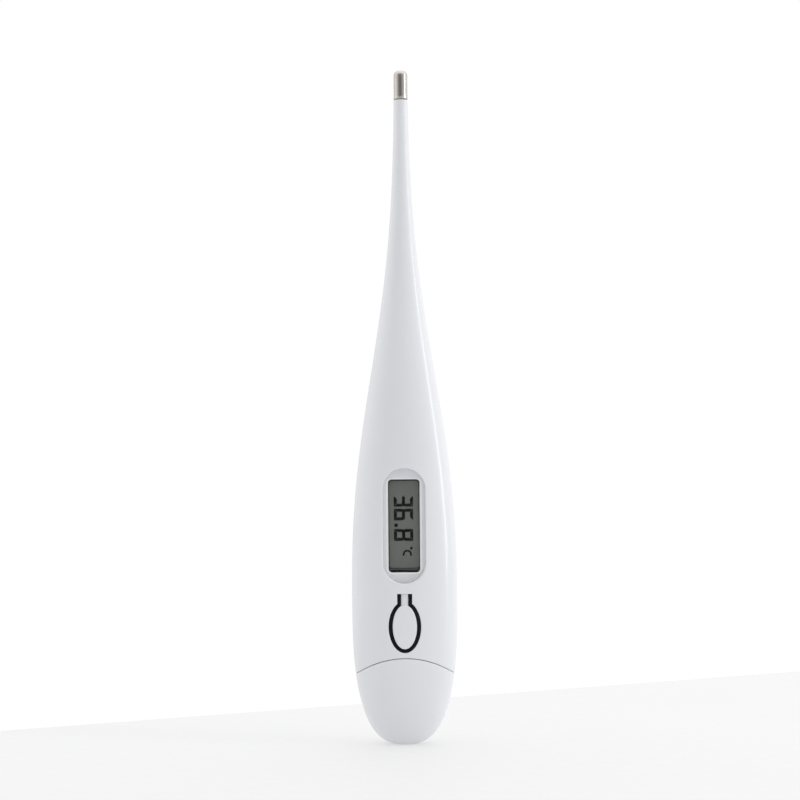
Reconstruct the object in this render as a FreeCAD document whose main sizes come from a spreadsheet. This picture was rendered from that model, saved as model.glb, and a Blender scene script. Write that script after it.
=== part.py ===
import FreeCAD, Part
import math
import os
import re

import Sketcher

# A stick-shaped clinical thermometer that stands on its rounded lower end.
# +Z points to the metal probe tip, -Y out of the display, +X to the right of it.
# The origin is the centre of the small flat at the lower end.  Millimetres and degrees.

DIMENSIONS = {
    # Outer form: superellipse end below the widest height, bell-shaped taper to the stem above it.
    "half_width": 9.75, "half_depth": 5.25, "widest_height": 27.0,
    "end_power": 2.75, "end_cut": 0.12,
    "stem_radius": 1.19, "width_taper": 51.6, "width_power": 2.46,
    "depth_taper": 57.0, "depth_power": 2.8,
    # Housing shell.
    "housing_wall": 1.0, "bore_radius": 0.72, "stem_top": 119.55,
    "spigot_radius": 1.13, "spigot_draft": 0.03, "spigot_top": 121.0, "spigot_root": 0.6,
    "cavity_bottom": 10.0,
    # Battery cover, its seam and the collar that plugs into the housing.
    "seam_radius": 14.6, "seam_apex": 16.3, "seam_gap": 0.12,
    "cover_wall": 1.2, "cover_floor": 1.5,
    "collar_half_width": 8.04, "collar_half_depth": 3.81,
    "collar_wall": 0.65, "collar_bottom": 12.6, "collar_top": 17.2, "collar_overrun": 0.5,
    "cover_hollow_top": 20.0,
    # Capsule recess with its lens, and the display opening behind it.
    "recess_half_width": 3.92, "recess_half_height": 10.6, "recess_centre": 40.68,
    "lens_front": -4.35, "lens_thickness": 0.6, "lens_gap": 0.04,
    "opening_half_width": 2.89, "opening_half_height": 8.63,
    "ledge_back": -3.15, "ledge_half_width": 5.2, "ledge_bottom": 28.9, "ledge_top": 52.6,
    # Guide ribs for the carrier.
    "rib_inner": 6.4, "rib_outer": 8.0, "rib_bottom": 20.0, "rib_top": 42.0,
    "rib_gap": 0.12, "rib_depth": 0.6,
    # How far the cutting solids reach.
    "cutter_front": -8.0, "cutter_back": 8.0, "slot_cut_back": -3.0, "opening_cut_back": -2.0,
    "overshoot": 1.0,
    # Button: an elliptical pad on a narrow neck, inside a keyhole slot.
    "slot_half_width": 2.98, "slot_half_height": 4.77, "button_centre": 22.15,
    "slot_neck_half_width": 1.36, "slot_top": 28.26,
    "pad_half_width": 2.23, "pad_half_height": 4.07, "neck_half_width": 0.67,
    "neck_front": -5.02, "neck_step": 26.5, "root_gap": 0.05,
    "peg_radius": 0.6, "peg_height": 19.3, "peg_tip": -0.95, "peg_root": -4.55,
    "seal_clearance": 0.06, "seal_inset": 0.2, "seal_back": -4.15,
    "seal_face_bottom": 12.0, "seal_face_top": 36.0,
    # Metal tip with its sensor.
    "tip_radius": 1.27, "tip_bottom": 119.7, "tip_top": 125.0, "tip_corner": 0.9,
    "tip_wall": 0.12, "seal_ring_low": 0.06, "seal_ring_high": 0.11, "seal_ring_draft": 0.002,
    "bead_radius": 0.7, "bead_height": 123.0, "potting_top": 124.7, "potting_chamfer": 0.2,
    "potting_shrink": 0.01,
    "lead_radius": 0.11, "lead_offset": 0.53, "lead_bend": 1.1, "lead_in_bead": 0.3,
    "lead_on_board": 1.6, "fold_top": 73.0, "fold_bottom": 56.6,
    # Circuit board.
    "board_half_width": 6.0, "board_half_thickness": 0.4, "board_bottom": 15.2,
    "board_top": 54.0,
    # Carrier: frame round the board, display holder and battery cup.
    "carrier_half_width": 7.0, "carrier_back": 1.2, "carrier_front": -1.1,
    "carrier_bottom": 18.0, "carrier_top": 44.5, "neck_leg_half_width": 4.2,
    "holder_half_width": 4.4, "holder_bottom": 29.9, "holder_top": 51.7,
    "cup_radius": 4.7, "cup_pocket_radius": 4.05, "cup_front": -2.0, "cup_back": 2.3,
    "cup_floor": 1.95, "battery_height": 10.0, "leg_overlap": 1.0,
    "window_half_width": 5.2, "window_bottom": 33.0, "window_margin": 1.3, "buzzer_margin": 0.7,
    "notch_half_width": 1.5, "notch_low": 2.0, "notch_high": 6.0, "notch_depth": 0.1,
    "pocket_reach": 6.0,
    # Display stack, front to back.
    "glass_half_width": 3.8, "glass_bottom": 30.4, "glass_top": 51.1,
    "ledge_glass_bottom": 32.1, "mask_bottom": 32.82, "mask_half_width": 2.74,
    "mask_top": 49.16, "gasket_front": -3.05, "polariser_front": -2.9,
    "front_glass_front": -2.75, "rear_glass_front": -2.25, "reflector_front": -1.7,
    "reflector_back": -1.5, "contact_strip_top": 32.0, "strip_inset": 0.2,
    # Button cell.
    "cell_radius": 3.95, "cell_half_thickness": 1.8, "cell_can_front": -1.55,
    "cell_can_wall": 0.25, "cell_cap_radius": 3.3, "cell_cap_corner": 0.2,
    # Contacts, dome, buzzer and small parts.
    "contact_thickness": 0.15, "contact_half_width": 1.2, "contact_foot_top": 17.0,
    "contact_overlap": 2.0, "contact_foot_rise": 0.5, "contact_slack": 0.05,
    "dome_radius": 2.0, "dome_height": 0.45, "dome_sheet": 0.1, "dome_edge": 0.2, "dome_sag": 0.03,
    "buzzer_radius": 5.0, "buzzer_height": 26.0, "buzzer_thickness": 0.2,
    "ceramic_radius": 3.5, "ceramic_thickness": 0.15,
    "wire_radius": 0.15, "wire_spread": 0.8, "wire_bend": 0.5, "ceramic_wire_start": 1.0,
    "disc_wire_start": 4.0, "wire_clear": 0.2, "wire_landing": 1.6, "wire_end": 2.8,
    "blob_radius": 3.0, "blob_height": 1.1, "blob_centre": 39.7,
    "chip_width": 1.6, "chip_height": 0.8, "chip_thickness": 0.5,
    "solder_radius": 0.55, "solder_crown": 0.12, "solder_drop": 1.5,
}

# Slack of each sensor lead above the board: offset to the side and height of each fold.
LEAD_FOLDS = ((3.6, 70.4), (-4.14, 66.6), (4.32, 62.6), (-1.8, 58.9))

# Lower left corner of each chip part on the board: across and up.
CHIP_PLACES = ((-4.6, 46.2), (-4.6, 48.6), (3.0, 46.2), (3.0, 49.4))

SUB_PARTS = []
document = FreeCAD.newDocument("thermometer")


def make_sheet():
    """Write every driving dimension into the sheet, name in column A and value in column B."""
    sheet = document.addObject("Spreadsheet::Sheet", "dims")
    for row, (name, value) in enumerate(DIMENSIONS.items(), start=1):
        sheet.set("A%d" % row, name)
        sheet.set("B%d" % row, str(value))
        sheet.setAlias("B%d" % row, name)
    document.recompute()
    return sheet


sheet = make_sheet()


def formula(text):
    """Point every dimension named in a formula at its cell."""
    return re.sub(r"[a-z_]{4,}", lambda word: ("dims." if word[0] in DIMENSIONS else "") + word[0], text)


def bind(item, prop, text):
    item.setExpression(prop, formula(text))


def keep(item, name):
    """Mark an object as a sub-part of the thermometer."""
    item.Label = name
    SUB_PARTS.append(item)
    return item


# ---- Part primitives and booleans -------------------------------------------------------------

def place(item, x, y, z):
    for axis, text in zip("xyz", (x, y, z)):
        bind(item, "Placement.Base." + axis, text)
    return item


def box(name, left, right, front, back, bottom, top):
    """Box between six planes."""
    item = document.addObject("Part::Box", name)
    bind(item, "Length", "(%s) - (%s)" % (right, left))
    bind(item, "Width", "(%s) - (%s)" % (back, front))
    bind(item, "Height", "(%s) - (%s)" % (top, bottom))
    return place(item, left, front, bottom)


def rod(name, x, height, radius, front, back):
    """Cylinder along Y."""
    item = document.addObject("Part::Cylinder", name)
    item.Placement.Rotation = FreeCAD.Rotation(FreeCAD.Vector(1, 0, 0), -90)
    bind(item, "Radius", radius)
    bind(item, "Height", "(%s) - (%s)" % (back, front))
    return place(item, x, front, height)


def post(name, radius, bottom, top):
    """Cylinder along Z on the long axis."""
    item = document.addObject("Part::Cylinder", name)
    bind(item, "Radius", radius)
    bind(item, "Height", "(%s) - (%s)" % (top, bottom))
    return place(item, "0", "0", bottom)


def cone(name, low_radius, high_radius, bottom, top):
    """Tapered post along Z on the long axis."""
    item = document.addObject("Part::Cone", name)
    bind(item, "Radius1", low_radius)
    bind(item, "Radius2", high_radius)
    bind(item, "Height", "(%s) - (%s)" % (top, bottom))
    return place(item, "0", "0", bottom)


def ellipse_prism(name, half_width, half_height, height, front, back):
    """Upright ellipse drawn out along Y."""
    outline = document.addObject("Part::Ellipse", name + "_outline")
    turn_up = FreeCAD.Rotation(FreeCAD.Vector(1, 0, 0), 90)
    outline.Placement.Rotation = turn_up.multiply(FreeCAD.Rotation(FreeCAD.Vector(0, 0, 1), 90))
    bind(outline, "MajorRadius", half_height)
    bind(outline, "MinorRadius", half_width)
    place(outline, "0", front, height)
    item = document.addObject("Part::Extrusion", name)
    item.Base = outline
    item.DirMode = "Custom"
    item.Dir = FreeCAD.Vector(0, 1, 0)
    item.Solid = True
    bind(item, "LengthFwd", "(%s) - (%s)" % (back, front))
    return item


def collar_prism(name, inset, overrun):
    """Upright elliptical prism of the collar, moved in by an inset and longer by an overrun."""
    outline = document.addObject("Part::Ellipse", name + "_outline")
    bind(outline, "MajorRadius", "collar_half_width - (%s)" % inset)
    bind(outline, "MinorRadius", "collar_half_depth - (%s)" % inset)
    place(outline, "0", "0", "collar_bottom - (%s)" % overrun)
    item = document.addObject("Part::Extrusion", name)
    item.Base = outline
    item.DirMode = "Custom"
    item.Dir = FreeCAD.Vector(0, 0, 1)
    item.Solid = True
    bind(item, "LengthFwd", "collar_top - collar_bottom + 2 * (%s)" % overrun)
    return item


def cut(name, base, tool):
    item = document.addObject("Part::Cut", name)
    item.Base = base
    item.Tool = tool
    return item


def common(name, first, second):
    item = document.addObject("Part::MultiCommon", name)
    item.Shapes = [first, second]
    return item


def fuse(name, *shapes):
    item = document.addObject("Part::MultiFuse", name)
    item.Shapes = list(shapes)
    return item


# ---- Outer form -------------------------------------------------------------------------------

def form_section(name, height, inset, core, below):
    """Elliptical section of the form at a height, moved in by an inset."""
    section = document.addObject("Part::Ellipse", name)
    bind(section, "Placement.Base.z", height)
    for prop, half, span, power in (
        ("MajorRadius", "half_width", "width_taper", "width_power"),
        ("MinorRadius", "half_depth", "depth_taper", "depth_power"),
    ):
        if below:
            drop = "(widest_height - (%s)) / (widest_height + end_cut)" % height
            size = "%s * pow(1 - pow(%s; end_power); 1 / end_power) - (%s)" % (half, drop, inset)
        else:
            bell = "exp(-pow(((%s) - widest_height) / %s; %s))" % (height, span, power)
            size = "(%s) + (%s - (%s) - (%s)) * %s" % (core, half, inset, core, bell)
        bind(section, prop, size)
    return section


def form_loft(name, inset, core, bottom, top, lower_count, upper_count):
    """Smooth solid through sections of the form from bottom to top."""
    sections = []
    lower_top = "widest_height" if upper_count else top
    for k in range(lower_count):
        share = 90.0 * k / (lower_count - 1)
        height = "(%s) + ((%s) - (%s)) * (1 - cos(%g deg))" % (bottom, lower_top, bottom, share)
        sections.append(form_section("%s_low_%d" % (name, k), height, inset, core, True))
    for k in range(1, upper_count + 1):
        height = "widest_height + ((%s) - widest_height) * %d / %d" % (top, k, upper_count)
        sections.append(form_section("%s_high_%d" % (name, k), height, inset, core, False))
    loft = document.addObject("Part::Loft", name)
    loft.Sections = sections
    loft.Solid = True
    return loft


def make_form():
    return form_loft("form", "0", "stem_radius", "0", "stem_top", 11, 14)


def make_cavity():
    return form_loft("cavity", "housing_wall", "bore_radius", "cavity_bottom", "stem_top", 6, 14)


# ---- Housing, button and battery cover --------------------------------------------------------

def button_outline(name, half_width, half_height, neck_half_width, top, front, back):
    """Keyhole-shaped prism: an ellipse with a straight neck above it."""
    oval = ellipse_prism(name + "_oval", half_width, half_height, "button_centre", front, back)
    neck = box(name + "_neck", "-(%s)" % neck_half_width, neck_half_width, front, back,
               "button_centre", top)
    return fuse(name, oval, neck)


def capsule(name, half_width, half_height, front, back):
    """Upright plate with round ends, centred on the display."""
    reach = "((%s) - (%s))" % (half_height, half_width)
    upper = rod(name + "_upper", "0", "recess_centre + " + reach, half_width, front, back)
    lower = rod(name + "_lower", "0", "recess_centre - " + reach, half_width, front, back)
    middle = box(name + "_middle", "-(%s)" % half_width, half_width, front, back,
                 "recess_centre - " + reach, "recess_centre + " + reach)
    return fuse(name, upper, lower, middle)


def guide_ribs():
    """Ribs inside the side walls, in front of and behind the carrier's edges."""
    ribs = []
    front = "carrier_front - rib_gap"
    back = "carrier_back + rib_gap"
    for side, left, right in (("left", "-rib_outer", "-rib_inner"), ("right", "rib_inner", "rib_outer")):
        ribs.append(box("rib_front_" + side, left, right, front + " - rib_depth", front,
                        "rib_bottom", "rib_top"))
        ribs.append(box("rib_back_" + side, left, right, back, back + " + rib_depth",
                        "rib_bottom", "rib_top"))
    return ribs


def make_housing(form, cavity):
    """One-piece shell with the display recess, button slot and hollow stem."""
    shell = cut("shell", form, cavity)
    ledge_block = box("ledge_block", "-ledge_half_width", "ledge_half_width", "-half_depth",
                      "ledge_back", "ledge_bottom", "ledge_top")
    ledge = common("ledge", ledge_block, form)
    spigot = cone("spigot", "spigot_radius", "spigot_radius - spigot_draft",
                  "stem_top - spigot_root", "spigot_top")
    solid = fuse("housing_solid", shell, ledge, spigot, *guide_ribs())
    recess = capsule("recess", "recess_half_width", "recess_half_height", "cutter_front",
                     "lens_front + lens_thickness")
    opening = box("display_opening", "-opening_half_width", "opening_half_width", "cutter_front",
                  "opening_cut_back", "recess_centre - opening_half_height",
                  "recess_centre + opening_half_height")
    slot = button_outline("button_slot", "slot_half_width", "slot_half_height",
                          "slot_neck_half_width", "slot_top", "cutter_front", "slot_cut_back")
    below_seam = rod("below_seam", "0", "seam_apex - seam_radius", "seam_radius + seam_gap",
                     "cutter_front", "cutter_back")
    bore = post("stem_bore", "bore_radius", "stem_top - overshoot", "spigot_top + overshoot")
    tools = fuse("housing_tools", recess, opening, slot, below_seam, bore)
    keep(cut("housing", solid, tools), "housing")
    return shell


def make_button(shell):
    """Pad on a cantilever neck, with a peg behind it that reaches the dome switch."""
    pad = button_outline("pad_outline", "pad_half_width", "pad_half_height", "neck_half_width",
                         "slot_top - root_gap", "cutter_front", "slot_cut_back")
    skin = common("pad_skin", pad, shell)
    step = box("neck_relief", "-2 * neck_half_width", "2 * neck_half_width", "cutter_front",
               "neck_front", "neck_step", "slot_top + overshoot")
    peg = rod("button_peg", "0", "peg_height", "peg_radius", "peg_root", "peg_tip")
    keep(fuse("button", cut("pad_relieved", skin, step), peg), "button")


def make_button_seal(cavity):
    """Soft ring that fills the keyhole slot round the button, set back from the surface."""
    outer = button_outline("seal_outer", "slot_half_width", "slot_half_height",
                           "slot_neck_half_width", "slot_top", "cutter_front + overshoot",
                           "seal_back")
    inner = button_outline("seal_inner", "pad_half_width + seal_clearance",
                           "pad_half_height + seal_clearance", "neck_half_width + seal_clearance",
                           "slot_top + overshoot", "cutter_front", "seal_back + overshoot")
    face = form_loft("seal_face", "seal_inset", "stem_radius", "seal_face_bottom", "seal_face_top",
                     5, 3)
    ring = common("seal_blank", cut("seal_ring", outer, inner), face)
    keep(cut("button_seal", ring, cavity), "button_seal")


def make_battery_cover(form):
    """Rounded end cap with a collar that plugs into the housing's mouth."""
    below_seam = rod("cover_seam", "0", "seam_apex - seam_radius", "seam_radius", "cutter_front",
                     "cutter_back")
    hollow = form_loft("cover_hollow", "cover_wall", "bore_radius", "cover_floor",
                       "cover_hollow_top", 7, 0)
    cup = cut("cover_cup", common("cover_blank", form, below_seam), hollow)
    outer = collar_prism("collar_outer", "0", "0")
    inner = collar_prism("collar_inner", "collar_wall", "collar_overrun")
    keep(fuse("battery_cover", cup, cut("collar", outer, inner)), "battery_cover")


def make_window_lens():
    """Clear capsule plate bonded into the recess."""
    lens = capsule("window_lens", "recess_half_width - lens_gap", "recess_half_height - lens_gap",
                   "lens_front", "lens_front + lens_thickness")
    keep(lens, "window_lens")


# ---- Sketched bodies --------------------------------------------------------------------------

def new_body(name):
    return keep(document.addObject("PartDesign::Body", name), name)


def new_sketch(body, name, role, height="0"):
    """Sketch on one of the body's own origin planes, moved along its normal."""
    sketch = body.newObject("Sketcher::SketchObject", name)
    plane = next(item for item in body.Origin.OriginFeatures if item.Role == role)
    sketch.AttachmentSupport = (plane, "")
    sketch.MapMode = "FlatFace"
    bind(sketch, "AttachmentOffset.Base.z", height)
    return sketch


def place_point(sketch, item, vertex, across, up):
    """Tie a point to the sketch's origin by two bound distances."""
    for kind, text, axis in (("DistanceX", across, -2), ("DistanceY", up, -1)):
        if text == "0":
            sketch.addConstraint(Sketcher.Constraint("PointOnObject", item, vertex, axis))
        else:
            number = sketch.addConstraint(Sketcher.Constraint(kind, -1, 1, item, vertex, 1.0))
            bind(sketch, "Constraints[%d]" % number, text)


def polygon(sketch, corners):
    """Closed outline through bound corners."""
    first = sketch.GeometryCount
    count = len(corners)
    rough = [FreeCAD.Vector(math.cos(2 * math.pi * k / count), math.sin(2 * math.pi * k / count), 0)
             for k in range(count)]
    for k in range(count):
        sketch.addGeometry(Part.LineSegment(rough[k], rough[(k + 1) % count]))
    for k in range(count):
        joint = Sketcher.Constraint("Coincident", first + k, 2, first + (k + 1) % count, 1)
        sketch.addConstraint(joint)
    for k, (across, up) in enumerate(corners):
        place_point(sketch, first + k, 1, across, up)


def rectangle(sketch, left, right, bottom, top):
    polygon(sketch, [(left, bottom), (right, bottom), (right, top), (left, top)])


def circle(sketch, across, up, radius):
    item = sketch.addGeometry(Part.Circle(FreeCAD.Vector(0.2, 0.2, 0), FreeCAD.Vector(0, 0, 1), 1))
    place_point(sketch, item, 3, across, up)
    number = sketch.addConstraint(Sketcher.Constraint("Radius", item, 1.0))
    bind(sketch, "Constraints[%d]" % number, radius)


def front_sketch(body, name, back):
    """Sketch facing the display side, X across and Z up, in the plane y = back."""
    return new_sketch(body, name, "XZ_Plane", "-(%s)" % back)


def pad(body, sketch, length):
    feature = body.newObject("PartDesign::Pad", sketch.Name + "_pad")
    feature.Profile = sketch
    bind(feature, "Length", length)
    body.Tip = feature
    return feature


def pocket(body, sketch, length):
    """Cut towards the display side, the way the sketch faces."""
    feature = body.newObject("PartDesign::Pocket", sketch.Name + "_pocket")
    feature.Profile = sketch
    feature.Reversed = True
    bind(feature, "Length", length)
    body.Tip = feature
    return feature


def slab(name, half_width, bottom, top, front, back):
    """Body of one rectangular plate lying parallel to the display."""
    body = new_body(name)
    sketch = front_sketch(body, name + "_outline", back)
    rectangle(sketch, "-(%s)" % half_width, half_width, bottom, top)
    pad(body, sketch, "(%s) - (%s)" % (back, front))
    return body


def turned(body, sketch):
    """Revolve a half profile about the sketch's upright axis."""
    feature = body.newObject("PartDesign::Revolution", sketch.Name + "_turned")
    feature.Profile = sketch
    feature.ReferenceAxis = (sketch, ["V_Axis"])
    feature.Angle = 360.0
    body.Tip = feature
    return feature


def turned_disc(name, height, profile):
    """Body turned about an axis along Y at a height: profile runs (radius, y)."""
    body = new_body(name)
    sketch = new_sketch(body, name + "_profile", "XY_Plane")
    polygon(sketch, profile)
    turned(body, sketch)
    bind(body, "Placement.Base.z", height)
    return body


# ---- Metal tip and sensor ---------------------------------------------------------------------

def make_probe_cap():
    """Thin drawn metal cap with a rounded nose."""
    body = new_body("probe_cap")
    sketch = new_sketch(body, "probe_cap_profile", "XZ_Plane")
    rectangle(sketch, "0", "tip_radius", "tip_bottom", "tip_top")
    blank = turned(body, sketch)
    document.recompute()
    rim = max(range(len(blank.Shape.Edges)), key=lambda k: circle_height(blank.Shape.Edges[k]))
    nose = body.newObject("PartDesign::Fillet", "probe_cap_nose")
    nose.Base = (blank, ["Edge%d" % (rim + 1)])
    bind(nose, "Radius", "tip_corner")
    document.recompute()
    hollow = body.newObject("PartDesign::Thickness", "probe_cap_hollow")
    floor = min(range(len(nose.Shape.Faces)), key=lambda k: nose.Shape.Faces[k].CenterOfMass.z)
    hollow.Base = (nose, ["Face%d" % (floor + 1)])
    bind(hollow, "Value", "tip_wall")
    hollow.Reversed = True
    body.Tip = hollow


def circle_height(edge):
    """Height of a round edge, or nothing for a straight one."""
    return edge.Curve.Center.z if isinstance(edge.Curve, Part.Circle) else -1.0


def make_cap_seal_ring():
    """Sloping ring of adhesive between the stem's shoulder and the metal cap."""
    body = new_body("cap_seal_ring")
    sketch = new_sketch(body, "cap_seal_ring_profile", "XZ_Plane")
    polygon(sketch, [("spigot_radius", "stem_top"), ("tip_radius - seal_ring_low", "stem_top"),
                     ("tip_radius - seal_ring_high", "tip_bottom"),
                     ("spigot_radius - seal_ring_draft", "tip_bottom")])
    turned(body, sketch)


def rounded_path(points, radius):
    """Wire of straight runs joined by tangent arcs of one radius."""
    edges = []
    start = points[0]
    for before, corner, after in zip(points, points[1:], points[2:]):
        back = (before - corner).normalize()
        ahead = (after - corner).normalize()
        half = back.getAngle(ahead) / 2
        setback = radius / math.tan(half)
        middle = corner + (back + ahead).normalize() * (radius / math.sin(half) - radius)
        enter = corner + back * setback
        leave = corner + ahead * setback
        edges.append(Part.LineSegment(start, enter).toShape())
        edges.append(Part.Arc(enter, middle, leave).toShape())
        start = leave
    edges.append(Part.LineSegment(start, points[-1]).toShape())
    return Part.Wire(edges)


def wire_tube(points, bend, radius):
    """Solid round wire along a rounded path, checked against its length."""
    path = rounded_path(points, bend)
    section = Part.Circle(points[0], points[1] - points[0], radius).toShape()
    tube = path.makePipeShell([Part.Wire(section)], True, True)
    expected = math.pi * radius ** 2 * path.Length
    print("wire length %.2f, volume %.4f of %.4f" % (path.Length, tube.Volume, expected))
    return tube


def lead_points(side):
    """Route of one sensor lead: board face, slack folds, stem and bead."""
    y = side * sheet.lead_offset
    route = [(0, sheet.bead_height - sheet.lead_in_bead), (0, sheet.fold_top), *LEAD_FOLDS,
             (0, sheet.fold_bottom), (0, sheet.board_top - sheet.lead_on_board)]
    return [FreeCAD.Vector(side * x, y, z) for x, z in route]


def make_sensor_leads():
    """Two enamelled wires that join the board to the sensor, with folded slack."""
    tubes = [wire_tube(lead_points(side), sheet.lead_bend, sheet.lead_radius) for side in (-1, 1)]
    blank = document.addObject("Part::Feature", "sensor_leads_blank")
    blank.Shape = Part.makeCompound(tubes)
    return blank


def make_tip_filling():
    """Sensor bead on its leads, held in the cap by potting compound."""
    leads = make_sensor_leads()
    bead = new_body("thermistor_bead")
    sketch = new_sketch(bead, "bead_profile", "XZ_Plane")
    half_disc(sketch, "bead_radius", "bead_height")
    turned(bead, sketch)
    keep(cut("sensor_leads", leads, bead), "sensor_leads")
    blank = document.addObject("PartDesign::Body", "potting_blank")
    outline = new_sketch(blank, "potting_profile", "XZ_Plane")
    inner = "(tip_radius - tip_wall)"
    polygon(outline, [("0", "spigot_top"), (inner, "spigot_top"),
                      (inner + " - potting_shrink", "tip_top - tip_corner"),
                      (inner + " - potting_chamfer", "potting_top - potting_chamfer"),
                      ("0", "potting_top")])
    turned(blank, outline)
    keep(cut("tip_potting", blank, fuse("potting_core", bead, leads)), "tip_potting")


def half_disc(sketch, radius, up):
    """Right half of a circle on the upright axis, closed by its diameter."""
    centre = FreeCAD.Vector(0, 1, 0)
    round_edge = Part.Circle(centre, FreeCAD.Vector(0, 0, 1), 1)
    arc = sketch.addGeometry(Part.ArcOfCircle(round_edge, -math.pi / 2, math.pi / 2))
    line = sketch.addGeometry(Part.LineSegment(FreeCAD.Vector(0, 2, 0), FreeCAD.Vector(0, 0, 0)))
    sketch.addConstraint(Sketcher.Constraint("Coincident", arc, 2, line, 1))
    sketch.addConstraint(Sketcher.Constraint("Coincident", arc, 1, line, 2))
    sketch.addConstraint(Sketcher.Constraint("PointOnObject", line, 1, -2))
    place_point(sketch, arc, 3, "0", up)
    number = sketch.addConstraint(Sketcher.Constraint("Radius", arc, 1.0))
    bind(sketch, "Constraints[%d]" % number, radius)
    sketch.addConstraint(Sketcher.Constraint("PointOnObject", line, 2, -2))


# ---- Board, carrier and display ---------------------------------------------------------------

def make_circuit_board():
    slab("circuit_board", "board_half_width", "board_bottom", "board_top",
         "-board_half_thickness", "board_half_thickness")


def make_carrier():
    """Moulded frame that holds the board, the display stack and the button cell."""
    body = new_body("carrier")
    tray = front_sketch(body, "carrier_tray", "carrier_back")
    rectangle(tray, "-carrier_half_width", "carrier_half_width", "carrier_bottom", "carrier_top")
    pad(body, tray, "carrier_back - board_half_thickness")
    lips = front_sketch(body, "carrier_lips", "board_half_thickness")
    for left, right in (("-carrier_half_width", "-board_half_width"),
                        ("board_half_width", "carrier_half_width")):
        rectangle(lips, left, right, "carrier_bottom", "carrier_top")
    pad(body, lips, "2 * board_half_thickness")
    bridge = front_sketch(body, "carrier_bridge", "-board_half_thickness")
    rectangle(bridge, "-carrier_half_width", "carrier_half_width", "holder_bottom", "carrier_top")
    pad(body, bridge, "-carrier_front - board_half_thickness")
    holder = front_sketch(body, "display_holder", "-board_half_thickness")
    rectangle(holder, "-holder_half_width", "holder_half_width", "holder_bottom", "holder_top")
    pad(body, holder, "-polariser_front - board_half_thickness")
    well = front_sketch(body, "display_well", "-board_half_thickness")
    rectangle(well, "-glass_half_width", "glass_half_width", "glass_bottom", "glass_top")
    pocket(body, well, "pocket_reach")
    windows = front_sketch(body, "carrier_windows", "carrier_back")
    circle(windows, "0", "buzzer_height", "buzzer_radius - buzzer_margin")
    rectangle(windows, "-window_half_width", "window_half_width", "window_bottom",
              "carrier_top - window_margin")
    pocket(body, windows, "carrier_back - board_half_thickness")
    make_battery_cup(body)


def make_battery_cup(body):
    """Round cup for the cell below the board, with notches for the two contacts."""
    legs = front_sketch(body, "cup_legs", "carrier_back")
    for left, right in (("-neck_leg_half_width", "-notch_half_width"),
                        ("notch_half_width", "neck_leg_half_width")):
        rectangle(legs, left, right, "battery_height + leg_overlap", "carrier_bottom + leg_overlap")
    pad(body, legs, "carrier_back - board_half_thickness")
    rim = front_sketch(body, "cup_outline", "cup_back")
    circle(rim, "0", "battery_height", "cup_radius")
    pad(body, rim, "cup_back - cup_front")
    seat = front_sketch(body, "cup_seat", "cup_floor")
    circle(seat, "0", "battery_height", "cup_pocket_radius")
    pocket(body, seat, "pocket_reach")
    for name, back, reach in (
        ("front_notch", "-board_half_thickness + notch_depth", "pocket_reach"),
        ("back_notch", "cup_floor", "cup_floor - board_half_thickness + notch_depth"),
    ):
        notch = front_sketch(body, name, back)
        rectangle(notch, "-notch_half_width", "notch_half_width", "battery_height + notch_low",
                  "battery_height + notch_high")
        pocket(body, notch, reach)


def make_display():
    """Liquid crystal display, front to back, with its foam gasket and contact strip."""
    gasket = new_body("display_gasket")
    sketch = front_sketch(gasket, "gasket_outline", "polariser_front")
    rectangle(sketch, "-glass_half_width", "glass_half_width", "glass_bottom", "glass_top")
    rectangle(sketch, "-mask_half_width", "mask_half_width", "mask_bottom", "mask_top")
    pad(gasket, sketch, "polariser_front - gasket_front")
    half = "glass_half_width"
    slab("front_polariser", half, "ledge_glass_bottom", "glass_top", "polariser_front",
         "front_glass_front")
    slab("display_front_glass", half, "glass_bottom", "glass_top", "front_glass_front",
         "rear_glass_front")
    slab("display_rear_glass", half, "ledge_glass_bottom", "glass_top", "rear_glass_front",
         "reflector_front")
    slab("display_reflector", half, "ledge_glass_bottom", "glass_top", "reflector_front",
         "reflector_back")
    slab("contact_strip", half + " - strip_inset", "glass_bottom", "contact_strip_top",
         "rear_glass_front", "-board_half_thickness")


# ---- Button cell and its contacts -------------------------------------------------------------

def make_cell():
    """Button cell: can, nylon ring and cap, turned about an axis along Y."""
    can_inner = "(cell_radius - cell_can_wall)"
    floor = "(cell_half_thickness - cell_can_wall)"
    turned_disc("cell_can", "battery_height", [
        ("0", "cell_half_thickness"), ("cell_radius", "cell_half_thickness"),
        ("cell_radius", "cell_can_front"), (can_inner, "cell_can_front"),
        (can_inner, floor), ("0", floor)])
    turned_disc("cell_gasket", "battery_height", [
        ("cell_cap_radius", floor), (can_inner, floor), (can_inner, "cell_can_front"),
        ("cell_cap_radius", "cell_can_front")])
    turned_disc("cell_cap", "battery_height", [
        ("0", "-cell_half_thickness"),
        ("cell_cap_radius - cell_cap_corner", "-cell_half_thickness"),
        ("cell_cap_radius", "-cell_half_thickness + cell_cap_corner"),
        ("cell_cap_radius", floor), ("0", floor)])


def contact(name, pressed_y, board_y, outward):
    """Bent strip: pressed flat on the cell, then stepping over to the board's face."""
    body = new_body(name)
    sketch = new_sketch(body, name + "_profile", "YZ_Plane", "-contact_half_width")
    thick = "%d * contact_thickness" % outward
    low = "battery_height - contact_overlap"
    top = "battery_height + cell_radius"
    foot = "board_bottom + contact_foot_rise"
    polygon(sketch, [
        (pressed_y, low), (pressed_y + " + " + thick, low),
        (pressed_y + " + " + thick, top + " + contact_slack"), (board_y + " + " + thick, foot),
        (board_y + " + " + thick, "contact_foot_top"), (board_y, "contact_foot_top"),
        (board_y, foot + " - contact_slack"), (pressed_y, top)])
    pad(body, sketch, "2 * contact_half_width")


def make_contacts():
    contact("negative_contact", "-cell_half_thickness", "-board_half_thickness", -1)
    contact("positive_contact", "cell_half_thickness", "board_half_thickness", 1)


# ---- Switch, buzzer and parts on the board ----------------------------------------------------

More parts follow.
